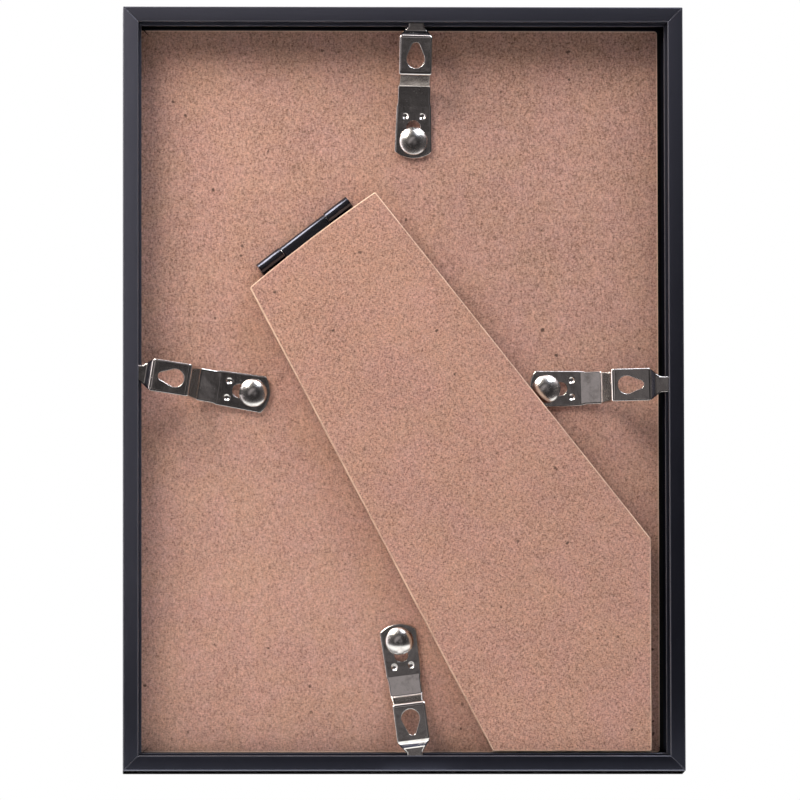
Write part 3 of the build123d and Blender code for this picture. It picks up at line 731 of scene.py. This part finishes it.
def bent_strip(corners, radius, count=6000):
    """Distance, x, z and heading along a line with rounded bends. The heading turns evenly over each bend's
    arc, radius x turn long, and x and z are the running sums of its cosine and sine. Every side is shorter
    by radius x (tan(turn / 2) - turn / 2) at each bend, because an arc cuts its corner."""
    side = np.diff(corners, axis=0)
    heading = np.arctan2(side[:, 1], side[:, 0])
    turn = np.diff(heading)
    spare = radius * (np.tan(np.abs(turn) / 2) - np.abs(turn) / 2)
    length = np.hypot(*side.T) - np.append(spare, 0) - np.append(0, spare)
    bends = np.cumsum(length)[:-1]
    along = np.linspace(0, length.sum(), count)
    share = np.clip((along[:, None] - bends) / (radius * np.abs(turn)) + 0.5, 0, 1)
    angle = heading[0] + (share * turn).sum(1)
    step = along[1] - along[0]
    middle = (angle[1:] + angle[:-1]) / 2
    x, z = (np.append(0, np.cumsum(move(middle))) * step for move in (np.cos, np.sin))
    return along, corners[0, 0] + x, corners[0, 1] + z, angle


LINE, LINE_X, LINE_Z, LINE_ANGLE = bent_strip(BENT_LINE, BEND)
print(f"the blank is {LINE[-1]:.2f} mm long; its tongue ends at x {LINE_X[-1]:.2f}, z {LINE_Z[-1]:.2f} mm")


def lift(along, across, height):
    """A point of the flat blank on the bent sheet: the middle line's place plus height x its normal."""
    x, z, angle = (np.interp(along, LINE, values) for values in (LINE_X, LINE_Z, LINE_ANGLE))
    return x - height * np.sin(angle), across, z + height * np.cos(angle)


# %% The blank's outline
def blank_x(x):
    """Where the place x of the bent clip lies along its flat blank."""
    return np.interp(x, LINE_X, LINE)


CROSS_LINES, COLUMNS = (8.0, 16.95, 24.8), 65
STRETCHES = (34, 120, 34, 64)
TAIL_CENTRE, TAIL_RADIUS = (2.91, 0), 7.21
CORNER_CENTRE, TAIL_MEETS_CORNER, CORNER_MEETS_SIDE = (-2.223, 3.84), 143.2, 88.46
ROUND, TONGUE_HALF, TONGUE_END = 0.8, 1.95, 30.2
HALF_BLANK = [(-9, 0), (31, 0), (31, TONGUE_HALF), (28.2, TONGUE_HALF),
              (25.4, 4.05), (9.8, 4.05), (8.6, 4.35), (-9, 4.821)]
half_outline = round_corners(HALF_BLANK, [0, 0, 0, 0.9, 1.0, 0.9, 0.9, 0], 9)
upper = half_outline[half_outline[:, 1] > 1.9][::-1]


def arc(centre, radius, start, end, count):
    """Points on a circle from one angle to another, in degrees."""
    turn = np.radians(np.linspace(start, end, count))
    return centre + radius * np.stack([np.cos(turn), np.sin(turn)], -1)


def outline_side():
    """One long side of the blank from its tail to its tip. The tail is an arc of radius 7.21, tangent to a
    corner round of 0.8, then come the straight sides, sampled evenly, and the tip's round of 0.8."""
    start = np.concatenate([arc(TAIL_CENTRE, TAIL_RADIUS, 180, TAIL_MEETS_CORNER, 16),
                            arc(CORNER_CENTRE, ROUND, TAIL_MEETS_CORNER, CORNER_MEETS_SIDE, 10)[1:]])
    start[0, 1] = 0
    start[:, 0] -= LINE_X[0]
    stops = blank_x(np.array([start[-1, 0] + LINE_X[0], *CROSS_LINES, TONGUE_END]))
    runs = [np.linspace(low, high, count + 1)[1:] for low, high, count in zip(stops, stops[1:], STRETCHES)]
    along = np.concatenate(runs)
    straight = np.stack([along, np.interp(np.interp(along, LINE, LINE_X), upper[:, 0], upper[:, 1])], -1)
    end = arc((stops[-1], TONGUE_HALF - ROUND), ROUND, 90, 0, 10)[1:]
    marks = len(start) - 1 + np.cumsum([0, *STRETCHES])
    return np.concatenate([start, straight, end]), marks


side_points, marks = outline_side()
end_line = side_points[-1] * np.stack([np.ones(COLUMNS), np.linspace(-1, 1, COLUMNS)], -1)
outline = np.concatenate([side_points[1:][::-1] * (1, -1), side_points[:1], side_points[1:]])[::-1]
outline = np.concatenate([end_line[1:-1], outline])
edge_loop = inset(outline, EDGE)
flat_side = edge_loop[COLUMNS - 2:][:len(side_points)][::-1]
flat_end = np.concatenate([flat_side[-1:] * (1, -1), edge_loop[:COLUMNS - 2], flat_side[-1:]])
print(f"the blank's outline has {len(outline)} points and is {outline[:, 1].max() * 2:.2f} mm wide")

# %% [markdown]
# The slot and the pear hole are both a circle that slides along an axis, with the same or a shrinking
# radius. For any point of the blank there is one nearest place on that axis, and the hole's edge lies on the
# line between the two. That gives each patch round a hole its inner loop, point for point.

# %% Patches of the blank
def hole_edge(loop, hole, shy):
    """For each point of a loop round a hole, the hole's edge, widened by shy: the foot on the axis, moved
    along by the taper of the sides, plus the radius there towards the point."""
    start, end = blank_x(hole[:2])
    start_radius, end_radius = np.add(hole[2:], shy)
    lean = np.arcsin((start_radius - end_radius) / (end - start))
    foot = np.clip(loop[:, 0] - np.abs(loop[:, 1]) * np.tan(lean), start, end)
    centre = np.stack([foot, np.zeros_like(foot)], -1)
    away = (loop - centre) / np.linalg.norm(loop - centre, axis=1, keepdims=True)
    radius = start_radius + (end_radius - start_radius) * (foot - start) / (end - start)
    return centre + away * radius[:, None]


def cross_row(points):
    """Rows across the blank between each side point and its mirror image."""
    return points[:, None] * np.stack([np.ones(COLUMNS), np.linspace(-1, 1, COLUMNS)], -1)


def ring_patch(loop, hole, rows):
    """A grid from a hole's broken edge out to a loop: edge (1 - s) + loop s."""
    inner = hole_edge(loop, hole, HOLE_EDGE)
    share = np.linspace(0, 1, rows)[:, None, None]
    return (inner * (1 - share) + loop * share).reshape(-1, 2), [grid_faces(rows, len(loop), ring=True)]


SLOT, PEAR = (0.0, 3.5, 1.65, 1.65), (19.7, 22.9, 2.2, 1.0)
base_side, plate_side = flat_side[:marks[1] + 1], flat_side[marks[2]:marks[3] + 1]
lines = cross_row(flat_side[marks[1:4]])
base_loop = np.concatenate([lines[0], base_side[::-1][1:], base_side[1:-1] * (1, -1)])
plate_loop = np.concatenate([lines[1][::-1], plate_side[1:-1] * (1, -1), lines[2], plate_side[::-1][1:-1]])
ramp = cross_row(flat_side[marks[1]:marks[2] + 1])
tongue = cross_row(flat_side[marks[3]:])
tongue[-1] = flat_end
flat_patches = [ring_patch(base_loop, SLOT, 26), ring_patch(plate_loop, PEAR, 12),
                (ramp.reshape(-1, 2), [grid_faces(len(ramp), COLUMNS)]),
                (tongue.reshape(-1, 2), [grid_faces(len(tongue), COLUMNS)])]
print("points in the four flat patches:", [len(points) for points, _ in flat_patches])

# %% [markdown]
# The sheet has two faces and three rims: round its outline, in the slot and in the hole. Each rim is a strip
# of two quarter ellipses, as the press and the tumbler leave them, so that every edge catches light. The
# dimples are a smooth dent in the upper face and a pip under the lower one.

# %% Clips
DIMPLE_AT, DIMPLE_RADIUS, DIMPLE_WALL = (6.3, 2.1), 0.92, 0.56
DENT_DEPTH, PIP_DEPTH = 0.35, 0.25


def dent(flat):
    """1 in the floor of a dimple and 0 outside it: a smooth step over the dimple's sloping wall."""
    from_dimple = np.hypot(flat[:, 0] - blank_x(DIMPLE_AT[0]), np.abs(flat[:, 1]) - DIMPLE_AT[1])
    wall = np.clip((DIMPLE_RADIUS - from_dimple) / DIMPLE_WALL, 0, 1)
    return wall * wall * (3 - 2 * wall)


def rim(edge, flat):
    """A strip round an edge from the upper face to the lower one: two quarter ellipses, BREAK high."""
    turn = np.linspace(0, np.pi / 2, 7)
    lines = [(edge + (flat - edge) * (1 - np.sin(angle)), SHEET / 2 - BREAK * (1 - np.cos(angle)))
             for angle in turn]
    lines += [(loop, -height) for loop, height in lines[::-1]]
    points = np.concatenate([np.stack(lift(*loop.T, height), -1) for loop, height in lines])
    return points, [grid_faces(len(lines), len(edge), ring=True)]


def clip_patches():
    """Both faces of the sheet and its three rims, in the clip's own millimetres."""
    patches = []
    for height, depth in ((SHEET / 2, DENT_DEPTH), (-SHEET / 2, PIP_DEPTH)):
        patches += [(np.stack(lift(*flat.T, height - depth * dent(flat)), -1), blocks)
                    for flat, blocks in flat_patches]
    patches.append(rim(outline, edge_loop))
    for loop, hole in ((base_loop, SLOT), (plate_loop, PEAR)):
        patches.append(rim(*(hole_edge(loop, hole, shy) for shy in (0, HOLE_EDGE))))
    return patches


blank_patches = clip_patches()
for side in PLACES:
    placed = [(at_rivet(side)(*points.T), blocks) for points, blocks in blank_patches]
    put_piece(f"bent_clip_{side}", placed, f"clip_{side}", [f"clip_{side}"], "nickel_plate", CLIP_NICKEL,
              sharp=50)

# %% [markdown]
# ## The stage
# The object was photographed against white, a little from below. So the floor only shows from above: its
# underside lets the camera through, and further out it fades into the white world. What the plating mirrors
# matters as much as the lamps. A dark tent round the camera's side, seen by reflections alone, gives the
# clips their charcoal faces, as a dark studio does. Its uneven cloth is what makes plain metal look alive.
# A white sill before the frame is seen in the same way, in bends and domes that look down. Both could be
# lamps or pictures, but a surface whose glow is a formula puts each pale patch where a bend needs it.

# %% Floor
MIDDLE = Vector((0, 0, HEIGHT / 2 * MM))
FLOOR, FLOOR_DROP, FADE_SQUARED = (-3, -3, 3, 3), 0.6 * MM, (0.13, 0.55)


def stage_piece(name, points, faces, finish):
    """A mesh that belongs to the stage and not to the object."""
    mesh = bpy.data.meshes.new(name)
    mesh.from_pydata(points, [], faces)
    mesh.materials.append(finish)
    piece = bpy.data.objects.new(name, mesh)
    bpy.context.scene.collection.objects.link(piece)
    return piece


def level_sheet(left, low, right, high, drop):
    """A level rectangle a little below the frame's foot: its corners and its one face."""
    return [(*corner, -drop) for corner in box_corners(left, low, right, high)], [(0, 1, 2, 3)]


def pale_floor():
    """Pale from above, and clear from below and further out, where the white world takes over."""
    floor = Finish("pale_floor")
    x, y = floor.axes("XY")
    far = (x * x + y * y).rise(*FADE_SQUARED)
    under = floor.add("ShaderNodeNewGeometry", output="Backfacing")
    clear = floor.add("ShaderNodeBsdfTransparent")
    tone = floor.mix(floor.noise(60.0, 2.0), (0.84, 0.84, 0.84, 1), (0.88, 0.88, 0.88, 1))
    pale = floor.add("ShaderNodeBsdfPrincipled", inputs={"Base Color": tone, "Roughness": 0.6})
    return floor.wear(floor.add("ShaderNodeMixShader", inputs={0: far.larger(under), 1: pale, 2: clear}))


floor = stage_piece("floor", *level_sheet(*FLOOR, FLOOR_DROP), pale_floor())
floor.visible_glossy = False
print("floor fades out between {:.2f} and {:.2f} m from the middle".format(*np.sqrt(FADE_SQUARED)))

# %% Tent and sill
TENT = 1.5
SILL, SILL_DROP = (-0.2, -0.03, 0.2, 0.062), 0.5 * MM


def tent_cloth():
    """Grey cloth that is uneven everywhere, paler low down and to the right, with a pale wall to the upper
    left and a bright hem on all sides but the right, which only steep bends and rims can see."""
    cloth = Finish("tent_cloth")
    x, y, z = cloth.axes("XYZ")
    fold = cloth.noise(80.0, 3.0, 0.6).rise(0.44, 0.74)
    low_down, to_right = 1 - (z - 0.09).size().rise(0.024, 0.07), 1 - x.rise(-0.14, -0.08)
    pale = y.rise(0.95 * TENT, 0.975 * TENT) * (0.13 * low_down + 0.12 * to_right)
    wall = (x + z).rise(0.36, 0.52) * y.rise(0.86 * TENT, 0.92 * TENT)
    skirt = 1 - y.rise(0.55 * TENT, 0.85 * TENT)
    hem = (1 - y.rise(0.28 * TENT, 0.42 * TENT)) * (x + 0.9 * z.size()).rise(-0.6 * TENT, 0.2 * TENT)
    return cloth.glow(0.014 + 0.10 * fold + pale + 0.34 * wall + 0.07 * skirt + 2.4 * hem, (1, 0.93, 0.96))


def tent_shell(rows=33, columns=49):
    """Half a sphere on the camera's side: the frame's middle plus radius x (sin a cos b, cos a, sin a sin b),
    with a up to 88 degrees off its axis and b all the way round."""
    off, about = np.meshgrid(np.linspace(0.001, np.radians(88), rows), np.linspace(0, 2 * np.pi, columns),
                             indexing="ij")
    points = np.stack([np.sin(off) * np.cos(about), np.cos(off), np.sin(off) * np.sin(about)], -1) * TENT
    return (points.reshape(-1, 3) + MIDDLE).tolist(), grid_faces(rows, columns).tolist()


def sill_white():
    """The table right before the frame, as reflections see it: a white line along the frame's foot, then its
    shade, then white again, and a small card that lights the bends of the bottom clip."""
    sill = Finish("sill_white")
    x, y = sill.axes("XY")
    before = y.rise(0.005, 0.007)
    line = before * (1 - y.rise(0.0095, 0.0115))
    card = before * (1 - (x + 0.003).size().rise(0.006, 0.011))
    return sill.glow(1.6 * (line * 2.0).larger(card).larger(y.rise(0.014, 0.028)))


tent = stage_piece("dark_tent", *tent_shell(), tent_cloth())
sill = stage_piece("white_sill", *level_sheet(*SILL, SILL_DROP), sill_white())
for unseen in (tent, sill):
    unseen.visible_camera = unseen.visible_diffuse = False
    unseen.visible_shadow = unseen.visible_transmission = False
print("the tent is", TENT, "m away, and only reflections see it and the sill")

# %% [markdown]
# ## Light and camera
# One large soft lamp above and a little to the right throws the short shadow of the top rail onto the panel,
# a second one from the left opens it, and a third one lights the front. The world is white to the camera and
# to reflections and a quiet fill to everything else, so the background is white without more light. The
# camera stands far off with a long lens, low enough to see the underside of the bottom rail.

# %% Lamps
def soft_lamp(name, place, size, power, colour=(1, 1, 1)):
    """A square lamp at a place, in metres, that faces the middle of the frame."""
    light = bpy.data.lights.new(name, "AREA")
    light.shape, light.size, light.energy, light.color = "SQUARE", size, power, colour
    lamp = bpy.data.objects.new(name, light)
    lamp.location = place
    lamp.rotation_mode = "QUATERNION"
    lamp.rotation_quaternion = (MIDDLE - lamp.location).to_track_quat("-Z", "Y")
    lamp.visible_camera = False
    bpy.context.scene.collection.objects.link(lamp)
    print(f"{name}: {(MIDDLE - lamp.location).length:.2f} m from the middle")


soft_lamp("overhead_lamp", (-0.238, 0.205, 0.606), size=0.30, power=2.42, colour=(0.93, 1.0, 1.13))
soft_lamp("left_lamp", (0.232, 0.144, 0.414), size=0.20, power=2.09, colour=(1.05, 1.0, 0.93))
soft_lamp("front_lamp", (0.31, -0.72, 0.60), size=0.6, power=5.0)

# %% World
world = bpy.data.worlds.new("white_room")
world.use_nodes = True
bpy.context.scene.world = world
room = Finish("white_room", world.node_tree)
to_camera, to_gloss, to_glass = (room.add("ShaderNodeLightPath", output=f"Is {kind} Ray")
                                 for kind in ("Camera", "Glossy", "Transmission"))
white = room.add("ShaderNodeBackground", inputs={"Color": (1, 1, 1, 1), "Strength": 1.0})
fill = room.add("ShaderNodeBackground", inputs={"Color": (0.80, 0.94, 1.25, 1), "Strength": 0.03})
seen = to_camera.larger(to_gloss).larger(to_glass)
both = room.add("ShaderNodeMixShader", inputs={0: seen, 1: fill, 2: white})
room.add("ShaderNodeOutputWorld", inputs={"Surface": both})
print("world:", len(world.node_tree.nodes), "nodes")

# %% Camera
LENS, SENSOR, ROLL = 544.2, 36.0, np.radians(-0.12)
AIM, EYE = Vector((0.00073, 0, 0.0926)), Vector((0.0946, 2.987, -0.185))
lens = bpy.data.cameras.new("camera")
lens.lens, lens.sensor_width = LENS, SENSOR
lens.clip_start, lens.clip_end = 0.1, 20.0
camera = bpy.data.objects.new("camera", lens)
camera.location = EYE
camera.rotation_mode = "QUATERNION"
camera.rotation_quaternion = (AIM - EYE).to_track_quat("-Z", "Y") @ Quaternion((0, 0, 1), ROLL)
bpy.context.scene.collection.objects.link(camera)
bpy.context.scene.camera = camera
bpy.context.scene.view_settings.view_transform = "Standard"
print(f"camera {(EYE - AIM).length:.2f} m away")
